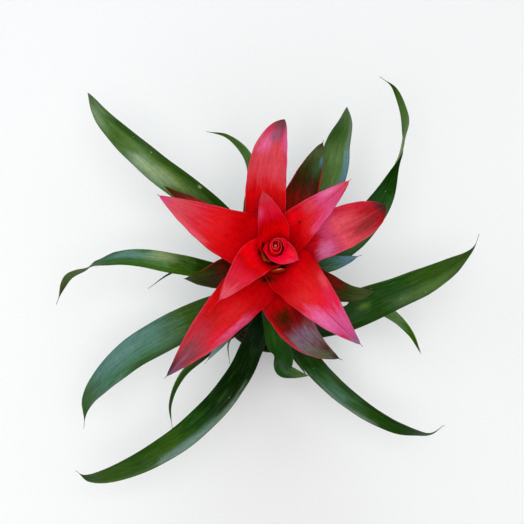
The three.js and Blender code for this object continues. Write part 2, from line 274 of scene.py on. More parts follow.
def mesh_object(name, points, faces, skin, uv=None, under=None, sharp=50):
    """A mesh object in metres, from points in millimetres, with its skin's coordinates if it has any."""
    mesh = bpy.data.meshes.new(name)
    mesh.from_pydata((np.asarray(points) * MM).tolist(), [], [list(map(int, face)) for face in faces])
    mesh.polygons.foreach_set("use_smooth", [True] * len(mesh.polygons))
    mesh.set_sharp_from_angle(angle=math.radians(sharp))
    if uv is not None:
        corners = np.empty(len(mesh.loops), int)
        mesh.loops.foreach_get("vertex_index", corners)
        layer = mesh.uv_layers.new(name="Skin")
        layer.data.foreach_set("uv", np.asarray(uv)[corners].ravel())
    if under is not None:
        mesh.attributes.new("under", "FLOAT", "POINT").data.foreach_set("value", under)
    mesh.materials.append(skin)
    return scene_object(name, mesh)


def settle(piece, node):
    """Rides a piece on the part in place of its CAD node, and hides that node."""
    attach(piece, "root")
    if node:
        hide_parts(node)


def grid_faces(rows, columns, first=0, flip=False):
    faces = []
    for i in range(rows):
        for j in range(columns):
            a = first + i * (columns + 1) + j
            face = [a, a + columns + 1, a + columns + 2, a + 1]
            faces.append(face[::-1] if flip else face)
    return faces


def shell(name, upper, lower, uv, skin):
    """A closed shell: an upper and a lower sheet of points, and the strip that joins their borders."""
    rows, columns = upper.shape[0] - 1, upper.shape[1] - 1
    count = (rows + 1) * (columns + 1)
    faces = grid_faces(rows, columns) + grid_faces(rows, columns, count, flip=True)
    start = list(range(columns + 1))
    end = [rows * (columns + 1) + j for j in start[::-1]]
    left = [i * (columns + 1) for i in range(rows, -1, -1)]
    right = [i * (columns + 1) + columns for i in range(rows + 1)]
    for border in (start, right, end, left):
        for a, b in zip(border, border[1:]):
            faces.append([a, b, count + b, count + a])
    points = np.concatenate([upper.reshape(-1, 3), lower.reshape(-1, 3)])
    under = np.repeat([0.0, 1.0], count)
    return mesh_object(name, points, faces, skin, np.concatenate([uv, uv]), under)


def roll_at(rolls, share):
    degrees = np.zeros_like(share)
    for (start, before), (end, after) in zip(rolls, rolls[1:]):
        degrees += (after - before) * smoothstep(share, start, end)
    return np.radians(degrees)


def width_at(blade, share):
    full, swell, close = TIPS[blade["tip"]]
    past = np.clip((share - full) / (1 - full), 0, 1)
    free = blade["width"] * (1 - past**swell) ** close
    free *= smoothstep(1 - share, 0, blade.get("thread", 0.001))
    opened = smoothstep(share, 0, blade["release"])
    return np.maximum(THREAD_WIDTH, lerp(blade["sheath_width"], free, opened))


def blade_piece(blade):
    """A blade lofted through arcs square to its route, thinner at its margins, with its folds and waves."""
    route = Route(blade["sheath"] + blade["route"])
    share = 1 - (1 - np.arange(BLADE_ROWS + 1) / BLADE_ROWS) ** ROW_CROWDING
    side = np.linspace(-1, 1, BLADE_COLUMNS + 1)
    middle = route.point(share)
    along = route.along(share)
    level = np.cross([0, 0, 1], along)
    level /= np.linalg.norm(level, axis=1)[:, None]
    level[1:] *= np.cumprod(np.sign(np.sum(level[1:] * level[:-1], axis=1)))[:, None]
    roll = roll_at(blade.get("rolls", []), share)[:, None]
    across = level * np.cos(roll) + np.cross(along, level) * np.sin(roll)
    facing = np.cross(along, across)
    bend = np.minimum(np.hypot(middle[:, 0], middle[:, 1]), blade["channel"])
    half = width_at(blade, share) / 2 / bend
    turn = half[:, None] * side[None, :]
    for start, end, hand, depth in blade.get("bites", []):
        halfway = (start + end) / 2
        bite = depth * smoothstep(share, start, halfway) * smoothstep(-share, -end, -halfway)
        turn = turn * np.where(side[None, :] * hand > 0, 1 - bite[:, None], 1)
    inward = facing[:, None] * np.cos(turn)[..., None] - across[:, None] * np.sin(turn)[..., None]
    upper = middle[:, None] + (facing * bend[:, None])[:, None] - inward * bend[:, None, None]
    upper += inward * relief(blade, share, side, half * bend)[..., None]
    thin = 1 - MARGIN_THINNING * np.abs(side) ** 3
    taper = np.interp(share, [0.9, 1], [1, 0.5])
    lower = upper - inward * (blade["thickness"] * taper[:, None] * thin[None, :])[..., None]
    uv = np.stack(np.meshgrid(share, (side + 1) / 2, indexing="ij"), axis=-1).reshape(-1, 2)
    skin = blade_skin(blade["name"], blade, route.length, blade["width"])
    settle(shell(blade["name"] + "_blade", upper, lower, uv, skin), blade["name"])


def relief(blade, share, side, half_width):
    """How far the skin stands above its plain arc: a crease along the middle, pleats and a waved margin."""
    phase = sum(map(ord, blade["name"])) % 7
    opened = smoothstep(share, 0.15, 0.4) * np.clip(half_width / RIPPLE_FADING, 0, 1)
    crease = -CREASE_DEPTH * np.exp(-((side / CREASE_SPREAD) ** 2))
    pleats = PLEAT_HEIGHT * np.cos(2 * math.pi * PLEATS * side + phase)
    ripple = blade.get("wave", RIPPLE_HEIGHT) * np.sin(share * RIPPLES * 2 * math.pi + phase)
    wave = ripple[:, None] * np.sign(side)[None, :] * np.abs(side)[None, :] ** 3
    return opened[:, None] * (crease + pleats)[None, :] + opened[:, None] * wave


class Skin:
    """A node material that is written as plain sums: every method returns a socket."""

    def __init__(self, name):
        self.material = bpy.data.materials.new(name)
        self.material.use_nodes = True
        self.tree = self.material.node_tree
        self.shader = self.tree.nodes["Principled BSDF"]

    def add(self, kind, inputs=(), **settings):
        node = self.tree.nodes.new(kind)
        for key, value in settings.items():
            setattr(node, key, value)
        for key, value in dict(inputs).items():
            self.put(node.inputs[key], value)
        return node

    def put(self, socket, value):
        if isinstance(value, bpy.types.NodeSocket):
            self.tree.links.new(value, socket)
        else:
            socket.default_value = value

    def math(self, operation, *values):
        return self.add("ShaderNodeMath", enumerate(values), operation=operation).outputs[0]

    def times(self, *values):
        product = values[0]
        for value in values[1:]:
            product = self.math("MULTIPLY", product, value)
        return product

    def minus(self, value, other):
        return self.math("SUBTRACT", value, other)

    def line(self, value, factor, offset):
        """Value times factor plus offset."""
        return self.math("MULTIPLY_ADD", value, factor, offset)

    def shift(self, value, amount, base):
        """Adds a noise value to the base, so that its middle value, a half, changes nothing."""
        return self.line(self.minus(value, 0.5), amount, base)

    def step(self, value, low, high, top=1.0):
        """Eases from 0 at low to top at high."""
        inputs = {"Value": value, "From Min": low, "From Max": high, "To Min": 0.0, "To Max": top}
        return self.add("ShaderNodeMapRange", inputs, interpolation_type="SMOOTHSTEP").outputs[0]

    def blend(self, share, first, second):
        node = self.add("ShaderNodeMix", data_type="RGBA")
        for index, value in ((0, share), (6, first), (7, second)):
            self.put(node.inputs[index], value)
        return node.outputs[2]

    def vary(self, colour, value, amount):
        """Brightens and darkens a colour by a noise value."""
        inputs = {0: colour, "Scale": self.shift(value, 2 * amount, 1.0)}
        return self.add("ShaderNodeVectorMath", inputs, operation="SCALE").outputs[0]

    def ramp(self, value, stops):
        node = self.add("ShaderNodeValToRGB", {0: value})
        elements = node.color_ramp.elements
        while len(elements) < len(stops):
            elements.new(0.5)
        for element, (spot, colour) in zip(elements, stops.items()):
            element.position = spot
            element.color = tone(colour)
        return node.outputs[0]

    def vector(self, x, y, z):
        return self.add("ShaderNodeCombineXYZ", {0: x, 1: y, 2: z}).outputs[0]

    def spot(self):
        """The place on the object, in metres."""
        return self.add("ShaderNodeTexCoord").outputs["Object"]

    def grain(self, vector, scale=1.0, detail=2.0, roughness=0.5):
        inputs = {"Vector": vector, "Scale": scale, "Detail": detail, "Roughness": roughness}
        return self.add("ShaderNodeTexNoise", inputs).outputs[0]

    def finish(self, colour, roughness, height=None, distance=0.1, specular=0.5):
        """Distance is the height of the bumps in millimetres."""
        self.put(self.shader.inputs["Base Color"], colour)
        self.put(self.shader.inputs["Roughness"], roughness)
        self.shader.inputs["Specular IOR Level"].default_value = specular
        if height is not None:
            bump = self.add("ShaderNodeBump", {"Strength": 1.0, "Distance": distance * MM, "Height": height})
            self.put(self.shader.inputs["Normal"], bump.outputs[0])
        return self.material


def blade_skin(name, look, length, width):
    """A leaf's or bract's skin: tones along it, margins, patches, veins, streaks, specks and underside."""
    skin = Skin(name)
    seed = float(sum(map(ord, name)) % 97)
    uv = skin.add("ShaderNodeSeparateXYZ", {0: skin.add("ShaderNodeUVMap", uv_map="Skin").outputs[0]})
    share, height = uv.outputs[0], uv.outputs[1]
    side = skin.line(height, 2.0, -1.0)
    edge = skin.math("ABSOLUTE", side)
    under = skin.add("ShaderNodeAttribute", attribute_name="under").outputs["Fac"]

    def lengthwise(spacing, stretch):
        """A vector for veins that lie so many millimetres apart and change over so many along the blade."""
        return skin.vector(skin.times(share, length / stretch), skin.times(height, width / spacing), seed)

    broad = skin.grain(lengthwise(9, 26), 1.0, 3.0, 0.55)
    streaks = skin.grain(lengthwise(2.2, 34), 1.0, 3.0, 0.6)
    fibres = skin.grain(lengthwise(0.7, 16))
    threads = skin.grain(lengthwise(1.3, 30), 1.0, 2.0, 0.6)
    mottle = skin.grain(lengthwise(3.5, 4.5), 1.0, 3.0, 0.6)
    grit = skin.grain(lengthwise(1.5, 5), 1.0, 3.0, 0.65)
    fraying = skin.line(grit, look["grit"], skin.line(streaks, 1.2, skin.times(broad, 1.6)))
    fraying = skin.minus(fraying, 1.4 + look["grit"] / 2)

    ragged = skin.shift(broad, look["fray"], skin.shift(streaks, look["fray"] / 2, share))
    colour = skin.ramp(ragged, look["tones"])
    for start, end, hand, reach, paint, strength in look["margins"]:
        way = skin.times(side, float(hand)) if hand else edge
        mask = skin.times(
            skin.step(way, 1.0 - reach, 1.0 - reach * 0.3, strength),
            skin.step(ragged, start - 0.04, start + 0.02),
            skin.step(ragged, end + 0.04, end - 0.02),
        )
        colour = skin.blend(mask, colour, tone(paint))
    for patch in look["patches"]:
        colour = skin.blend(patch_mask(skin, share, side, fraying, patch), colour, tone(patch[4]))
    paint, strength = look["threads"]
    colour = skin.blend(skin.step(threads, 0.52, 0.66, strength), colour, tone(paint))
    paint, strength = look["midrib"]
    midrib = skin.times(skin.step(edge, 0.045, 0.01, strength), skin.step(share, 0.5, 0.75))
    colour = skin.blend(midrib, colour, tone(paint))
    paint, strength = look["rim"]
    rim = skin.times(skin.step(edge, 0.92, 1.0, strength), skin.step(share, 0.4, 0.65))
    colour = skin.blend(rim, colour, tone(paint))
    for value, amount in ((streaks, "streak"), (fibres, "fibre"), (mottle, "mottle")):
        colour = skin.vary(colour, value, look[amount])
    paint, chance, cell = look["specks"]
    colour = skin.blend(speck_mask(skin, lengthwise(cell, cell), chance), colour, tone(paint))
    below = skin.vary(skin.ramp(ragged, look["under"]), streaks, look["streak"])
    colour = skin.blend(under, colour, below)

    rough = skin.shift(broad, 0.2, look["rough"])
    ribs = skin.math("SINE", skin.times(height, 2 * math.pi * width / look["rib"]))
    bumps = skin.line(ribs, 0.3, skin.math("ADD", streaks, skin.times(fibres, 0.6)))
    return skin.finish(colour, rough, bumps, look["bump"], look["specular"])


def patch_mask(skin, share, side, fraying, patch):
    """A soft oval on the blade, frayed along its veins."""
    middle, lean, length, width, _, strength = patch
    x = skin.math("DIVIDE", skin.minus(share, middle), length)
    y = skin.math("DIVIDE", skin.minus(side, lean), width)
    reach = skin.math("SQRT", skin.math("ADD", skin.times(x, x), skin.times(y, y)))
    return skin.step(skin.math("ADD", reach, fraying), 1.4, 0.1, strength)


def speck_mask(skin, vector, chance):
    """Small dots, one in some of the cells of a loose net."""
    net = skin.add("ShaderNodeTexVoronoi", {"Vector": vector, "Scale": 1.0})
    chosen = skin.math("LESS_THAN", skin.math("FRACT", skin.times(net.outputs["Color"], 7.0)), chance)
    return skin.times(skin.step(net.outputs["Distance"], 0.16, 0.07), chosen)


# What the blades of a kind share. Release is the share of the length over which the sheath opens, and channel
# the radius that a blade is bent to. On the stem, lowest is the foot of the first sheath, rise the step up to
# the next, and lean and length are the sheath's. Fray is how far streaks drag a tone along the blade, and
# grit how rough a patch's edge is. Ribs are millimetres wide. Specks are their colour, the share of cells
# that hold one and the size of a cell.
LEAF_KIND = dict(
    slot="leaf_deep", tip="slim", thickness=LEAF_THICKNESS, release=0.3, channel=20,
    fray=0.22, streak=0.5, fibre=0.45, mottle=0.3, rough=0.36, rib=1.3, bump=0.16, grit=0.5, specular=0.25,
    rim=(INK, 0.35), midrib=(INK, 0.2), threads=(SAGE, 0.18), specks=(PALE, 0.06, 6),
    margins=[], patches=[], under={0: PALE, 0.3: FRESH, 1: FRESH},
)
STEM_LEAF_KIND = LEAF_KIND | dict(
    release=0.4, channel=24, lowest=196, rise=15, lean=0.13, length=20,
    rough=0.42, specular=0.2, mottle=0.6, specks=(SCORCH, 0.14, 7), rim=(BROWN, 0.4),
    threads=(SCORCH, 0.3), under={0: BROWN, 0.6: RUSSET, 1: OLIVE},
)
BRACT_KIND = LEAF_KIND | dict(
    slot="bract_red", tip="wedge", thickness=BRACT_THICKNESS, release=0.4, channel=32,
    lowest=284, rise=6.8, lean=0.26, length=21,
    streak=0.26, fibre=0.32, mottle=0.28, rough=0.4, rib=1.1, bump=0.13, grit=1.2, specular=0.2,
    # The thin rim is partly the bracts' paler margin and partly a painted edge highlight.
    rim=(BLUSH, 0.35), midrib=(CRIMSON, 0.5), threads=(CRIMSON, 0.22), specks=(OXBLOOD, 0.1, 6),
    under={0: SCARLET, 0.6: CRIMSON, 1: CERISE},
)
FLORAL_KIND = BRACT_KIND | dict(
    slot="floral_orange", tip="scale", release=0.1, channel=30, sheath=[],
    tones={0: SCORCH, 0.75: BARK, 0.88: EMBER, 1: EMBER}, rim=(TAN, 0), threads=(BARK, 0.6),
    under={0: BARK, 0.75: BARK, 0.92: EMBER, 0.98: RUST, 1: TAN}, mottle=0.7,
)
HEART_LOOK = dict(
    rim=(FLAME, 0),
    tones={0: SCARLET, 0.85: FLAME, 0.96: FLAME, 1: BLUSH},
    # The outer wall's bright red is painted light: raised to stand for light where the cup shades it.
    under={0: SCARLET, 1: FLAME},
)

# How each blade differs from its kind. Shares are of its length, and a side runs from -1 to 1, plus on the
# anticlockwise margin seen from above. In a row
# route is reach, bearing and height along the middle,
# rolls are a share and the degrees turned about the middle by then,
# bites are the start, end, side and depth of a notch, as a share of half the width (below 0 it bulges),
# tones are a share and a colour,
# margins are start, end, side, reach in from the edge, colour and strength, and
# patches are share, side, their reaches, colour and strength.

# Foliage leaves, youngest first. Their near-black tones near the foot are partly the leaves' own dark green
# and partly painted shade, where the bloom and the outer leaves shade their feet.
FOLIAGE = [
    dict(
        name="leaf_back_short", slot="leaf_blue", layer=1, width=40, tip="broad", channel=26,
        route=[(32, 57, 235), (58, 55, 262), (112, 59.4, 290), (137.4, 63, 285), (165, 64.5, 270),
               (188.3, 66.7, 250)],
        tones={0: PALE, 0.12: DEEP, 0.55: MEADOW, 0.72: MEADOW, 0.84: FRESH, 0.93: FRESH, 1: MEADOW},
        # Both margins on the minus side are painted sheen: the window's bluish reflection along that edge.
        margins=[(0.5, 0.78, -1, 0.6, SLATE, 0.8), (0.78, 0.93, -1, 0.6, SHEEN_GREY, 0.7)],
        patches=[(0.87, 0.6, 0.08, 0.5, LEAF, 0.95)],
    ),
    dict(
        name="leaf_front_curled", slot="leaf_fresh", layer=1, width=30, tip="blunt", channel=18,
        route=[(26, 272, 215), (50, 272, 238), (72, 273.8, 238), (83.8, 276.2, 230), (92.3, 275.8, 219),
               (96.5, 281.5, 211), (103, 290, 205)],
        bites=[(0.74, 0.8, -1, 0.35)],
        tones={0: PALE, 0.12: DEEP, 0.55: LEAF, 0.68: CLOVER, 0.76: BOTTLE, 0.84: BOTTLE, 0.9: FERN,
               0.96: MEADOW, 1: SAGE},
        margins=[(0.4, 0.7, -1, 0.3, CLOVER, 0.7)],
    ),
    dict(
        name="leaf_back_left_long", slot="leaf_fresh", layer=2, width=30.5, tip="blunt", channel=26,
        route=[(27, 129, 200), (59, 133, 233), (99, 136.7, 266), (157, 139.8, 290), (228, 137.8, 265),
               (274, 134.7, 230)],
        tones={0: PALE, 0.12: DEEP, 0.45: LEAF, 0.54: MEADOW, 0.62: LIME, 0.72: MEADOW, 0.8: FRESH,
               0.9: SAGE, 0.96: MEADOW, 1: MEADOW},
        margins=[(0.4, 0.85, -1, 0.8, LEAF, 0.95), (0.85, 1, -1, 0.6, FRESH, 0.95)],
        # The pale patches at .61, .665 and .88 are painted highlights: the window's pale reflection on the
        # blade.
        patches=[(0.665, 0.45, 0.07, 0.6, SHEEN_PALE, 0.6), (0.665, 0.4, 0.06, 0.5, PALE, 0.95),
                 (0.61, 0, 0.05, 0.3, PALE, 0.6), (0.77, -0.2, 0.05, 0.3, LIME, 0.6),
                 (0.88, 0.6, 0.07, 0.5, PALE, 0.6), (0.535, -0.78, 0.006, 0.1, PALE, 1)],
    ),
    dict(
        name="leaf_right_wide", layer=2, width=40, tip="drawn", channel=30, thread=0.16, release=0.45,
        streak=0.35, fibre=0.3,
        route=[(25, 298, 180), (53, 307, 212), (70, 320.8, 245), (90, 334.2, 272), (110.5, 344.6, 286),
               (146.7, 355.1, 280), (178.5, 2.6, 262), (200, 7.4, 250), (211.3, 11.7, 238)],
        bites=[(0.45, 0.58, 1, 0.62), (0.58, 0.74, 1, 0.13)],
        tones={0: PALE, 0.12: INK, 0.55: BOTTLE, 0.68: BOTTLE, 0.76: MOSS, 0.9: MOSS, 1: LEAF},
        margins=[(0.62, 0.82, 1, 0.15, FRESH, 0.7)],
        # The large patch on the minus side is painted sheen: a paler band where the window reflects along the
        # lower edge.
        patches=[(0.77, -0.6, 0.13, 0.5, MEADOW, 0.9), (0.571, 0.03, 0.02, 0.2, LIME, 0.75)],
    ),
    dict(
        name="leaf_left_wide", slot="leaf_blue", layer=3, width=35.5, tip="strap", channel=30, thread=0.1,
        route=[(36, 210, 198), (61, 211.8, 225), (104, 211.2, 262), (157, 211, 270), (198, 212.2, 248),
               (223.7, 213.7, 220), (243.5, 217.8, 195)],
        # The teal tones from .6 to .78 and the bluish patch are painted sheen: the window's reflection on the
        # middle of the blade.
        tones={0: PALE, 0.12: DEEP, 0.42: FRESH, 0.53: FRESH, 0.6: TEAL, 0.78: TEAL, 0.88: FERN, 1: GRASS},
        margins=[(0.4, 0.76, 1, 1, FERN, 0.9), (0.4, 0.7, 1, 0.5, LEAF, 0.7)],
        patches=[(0.71, -0.6, 0.13, 0.6, MIST, 0.95)],
    ),
    dict(
        name="leaf_back_right_twisted", layer=3, width=30, tip="spear", channel=24, thread=0.08, specular=0,
        route=[(31, 28, 205), (55, 21, 232), (91, 25, 268), (126, 33.7, 288), (157.3, 40.5, 282),
               (177.4, 44.3, 274), (206.3, 50.2, 255), (233.7, 57.9, 235), (242, 62.6, 222)],
        rolls=[(0.48, 0), (0.72, 85), (0.86, 120)],
        # The lighter green from .36 to .5 is painted light: raised where this stretch lies in shade.
        tones={0: PALE, 0.12: INK, 0.36: FERN, 0.5: FERN, 0.62: BOTTLE, 0.72: BOTTLE, 0.8: DEEP, 1: LEAF},
        under={0: PALE, 0.3: MOSS, 0.7: PALE, 0.78: SAGE, 0.86: MEADOW, 0.93: MOSS, 1: MOSS},
    ),
    dict(
        name="leaf_front_left_long", layer=4, width=27, tip="full", channel=26, thread=0.05, release=0.75,
        specular=0.15,
        route=[(27, 256, 170), (46, 254.5, 200), (76, 253, 236), (109, 251, 256), (149, 246.3, 270),
               (191, 240.5, 268), (234, 234, 250), (261, 229.5, 230), (272.5, 226.6, 212),
               (275.5, 224, 203)],
        tones={0: PALE, 0.12: INK, 0.54: INK, 0.62: BOTTLE, 0.7: MOSS, 0.78: LEAF, 0.88: MOSS, 1: LEAF},
        # The bluish margin and the pale patch on the plus side are painted highlight: the window's reflection
        # along that edge.
        margins=[(0.5, 0.74, 1, 0.5, SHEEN_GREY, 0.85), (0.74, 0.96, 1, 0.4, FRESH, 0.85)],
        patches=[(0.67, 0.65, 0.09, 0.35, SHEEN_PALE, 0.55)],
    ),
    dict(
        name="leaf_back_small", layer=4, width=24, channel=22, specular=0.1,
        route=[(45, 104, 180), (68, 109, 202), (100, 103, 214), (133.5, 101.7, 212), (165, 107, 195),
               (183, 113, 178)],
        bites=[(0.54, 0.78, 1, 0.42)],
        tones={0: PALE, 0.12: DEEP, 0.5: MOSS, 0.72: MEADOW, 0.85: FRESH, 0.92: GRASS, 1: MOSS},
        margins=[(0.7, 0.84, -1, 0.5, SAGE, 0.8)],
    ),
    dict(
        name="leaf_left_twisted", layer=5, width=20.5, tip="full", channel=22, thread=0.08, specular=0.04,
        route=[(32, 178, 185), (50, 175, 210), (94, 175, 254), (143, 175, 266), (178, 176.9, 250),
               (192, 178.3, 238), (209.4, 179.8, 220), (225.4, 185.6, 195)],
        rolls=[(0.56, 0), (0.7, 32), (0.78, 64), (0.83, 90), (0.92, 128)],
        tones={0: PALE, 0.12: DEEP, 0.47: LEAF, 0.53: FRESH, 0.58: SAGE, 0.66: FERN, 0.75: FERN, 1: MOSS},
        margins=[(0.4, 0.82, 1, 0.9, GRASS, 0.85)],
        # Both patches are painted sheen: the window's pale reflection on the blade.
        patches=[(0.57, -0.6, 0.05, 0.6, PALE, 0.75), (0.67, -0.5, 0.07, 0.5, MIST, 0.9)],
        under={0: PALE, 0.3: MOSS, 0.78: KHAKI, 0.84: MEADOW, 0.94: KHAKI, 1: MOSS},
    ),
    dict(
        name="leaf_right_small", slot="leaf_fresh", layer=5, width=18.5, tip="spear", specular=0.03,
        route=[(29, 346, 175), (54, 349, 190), (83.6, 350.2, 202), (123.5, 345.3, 195), (150, 341, 178),
               (170, 336, 160)],
        tones={0: PALE, 0.12: DEEP, 0.6: BOTTLE, 0.7: MEADOW, 0.8: SAGE, 0.87: GRASS, 0.96: GRASS,
               1: MEADOW},
        margins=[(0.82, 0.98, 1, 0.6, LIME, 0.6)],
    ),
    dict(
        name="leaf_front_right_long", layer=6, width=22, tip="spear", channel=24, thread=0.07,
        route=[(35, 290, 160), (63, 293, 185), (90, 294.5, 203), (116, 297.6, 215), (155, 303.2, 221),
               (190, 309, 206), (210, 313.3, 191), (222.4, 316.5, 177), (228, 321, 163)],
        rolls=[(0.76, 0), (0.95, -70)],
        tones={0: PALE, 0.12: INK, 0.42: BOTTLE, 0.53: FERN, 0.6: FERN, 0.67: LEAF, 0.78: BOTTLE,
               0.9: BOTTLE, 1: LEAF},
        # The bluish margin on the minus side and the teal patch are painted sheen: the window's reflection on
        # the blade.
        margins=[(0.52, 0.7, -1, 0.6, SHEEN_GREY, 0.85), (0.4, 0.95, 1, 0.9, DEEP, 0.75)],
        patches=[(0.57, -0.3, 0.05, 0.5, TEAL, 0.8)],
    ),
    dict(
        name="leaf_left_needle", layer=6, width=8,
        route=[(30, 177, 165), (51, 175, 178), (87, 168, 192), (109, 173, 180), (133, 180, 162)],
        tones={0: PALE, 0.12: DEEP, 0.5: BOTTLE, 1: LEAF},
    ),
    dict(
        name="leaf_front_left_thin", layer=7, width=14, thread=0.1,
        route=[(30, 232, 155), (54, 230, 175), (102, 226.4, 198), (134, 225.9, 200), (162.4, 229.2, 180),
               (182.4, 234.8, 155)],
        tones={0: PALE, 0.12: INK, 0.55: INK, 0.68: LEAF, 1: LEAF},
        margins=[(0.4, 1, -1, 0.7, MEADOW, 0.85)],
    ),
    dict(
        name="leaf_front_narrow", slot="leaf_fresh", layer=8, width=17,
        route=[(33, 283, 140), (56, 285, 158), (76, 287, 168), (88, 289, 166), (99, 291, 158)],
        tones={0: PALE, 0.12: DEEP, 0.5: LEAF, 0.8: MOSS, 0.9: FRESH, 1: MEADOW},
        patches=[(0.72, -0.5, 0.07, 0.4, LIME, 0.6)],
    ),
    dict(
        name="leaf_front_left_needle", slot="leaf_blue", layer=9, width=5,
        route=[(29, 222, 128), (53, 227.5, 145), (73.5, 229.9, 150), (90.2, 239.1, 132)],
        tones={0: PALE, 0.12: DEEP, 0.5: SAGE, 1: SAGE},
    ),
]

# Leaves that clasp the flower stem under the bloom, lowest first
STEM_LEAVES = [
    dict(
        name="stem_leaf_right", slot="leaf_blue", width=35, tip="lance", thread=0.08,
        route=[(21, 18, 258), (43, 4, 280), (64, 5, 284), (86, 8.6, 280)],
        # The bluish tones from .82 and the pale patch are painted sheen: the window's reflection near the
        # tip.
        tones={0: BROWN, 0.4: BOTTLE, 0.7: FERN, 0.82: TEAL, 0.88: SLATE, 0.98: SLATE, 1: SCORCH},
        patches=[(0.93, 0.3, 0.07, 0.7, SHEEN_PALE, 0.6)],
    ),
    dict(
        name="stem_leaf_front_left", slot="leaf_blue", width=31, thread=0.06,
        route=[(24, 228, 272), (56, 234.5, 292), (85, 235.8, 292), (115, 234.5, 282)],
        # The bluish tones from .84 are painted sheen: the window's reflection near the tip.
        tones={0: BROWN, 0.4: OLIVE, 0.7: FERN, 0.84: MIST, 0.93: SHEEN_PALE, 1: SHEEN_PALE},
    ),
    dict(
        name="stem_leaf_front_right", slot="stem_leaf_olive", width=33, tip="spear", thread=0.1,
        route=[(26, 338, 290), (52, 333, 318), (77, 335.2, 322), (102, 344.2, 313)],
        tones={0: BARK, 0.62: BARK, 0.72: BROWN, 0.8: OLIVE, 0.9: KHAKI, 0.96: KHAKI, 1: SCORCH},
        patches=[(0.7, 0.5, 0.06, 0.5, BARK, 0.7)],
    ),
    dict(
        name="stem_leaf_left", slot="stem_leaf_olive", width=54, tip="lance",
        route=[(22, 197, 300), (46, 197.5, 326), (67.4, 196.2, 330), (87, 192, 322)],
        bites=[(0.55, 0.86, 1, -0.2)],
        tones={0: BARK, 0.64: BROWN, 0.71: BROWN, 0.78: UMBER, 0.86: OLIVE, 0.92: OLIVE, 0.96: KHAKI,
               1: SCORCH},
        margins=[(0.6, 0.88, -1, 0.1, RUBY, 0.8)],
        patches=[(0.8, 0.5, 0.1, 0.5, UMBER, 0.7)],
    ),
    dict(
        name="stem_leaf_back_right", slot="stem_leaf_wine", width=42, tip="spear", thread=0.05,
        route=[(31, 64, 318), (62, 66.3, 346), (92, 67, 352), (118.5, 67.3, 346)],
        tones={0: BROWN, 0.6: RUSSET, 0.67: BROWN, 0.76: UMBER, 0.84: OLIVE, 0.9: KHAKI, 0.97: KHAKI,
               1: SCORCH},
        margins=[(0.62, 0.8, -1, 0.12, RUBY, 0.9), (0.66, 0.86, 1, 0.16, BARK, 0.9)],
        # The slate patch is painted sheen: a bluish reflection of the window.
        patches=[(0.86, -0.75, 0.04, 0.25, SLATE, 0.6), (0.82, -0.4, 0.06, 0.4, FERN, 0.5),
                 (0.96, 0.1, 0.03, 0.6, SCORCH, 0.5)],
    ),
    dict(
        name="stem_leaf_back_left", slot="stem_leaf_wine", width=26, tip="spear",
        route=[(27, 148, 328), (69, 150, 354), (97, 149, 356), (121, 148, 350)],
        tones={0: RUSSET, 0.8: RUSSET, 0.87: BROWN, 0.97: BROWN, 1: UMBER},
        margins=[(0.9, 1, -1, 0.5, LIME, 0.9)],
    ),
]

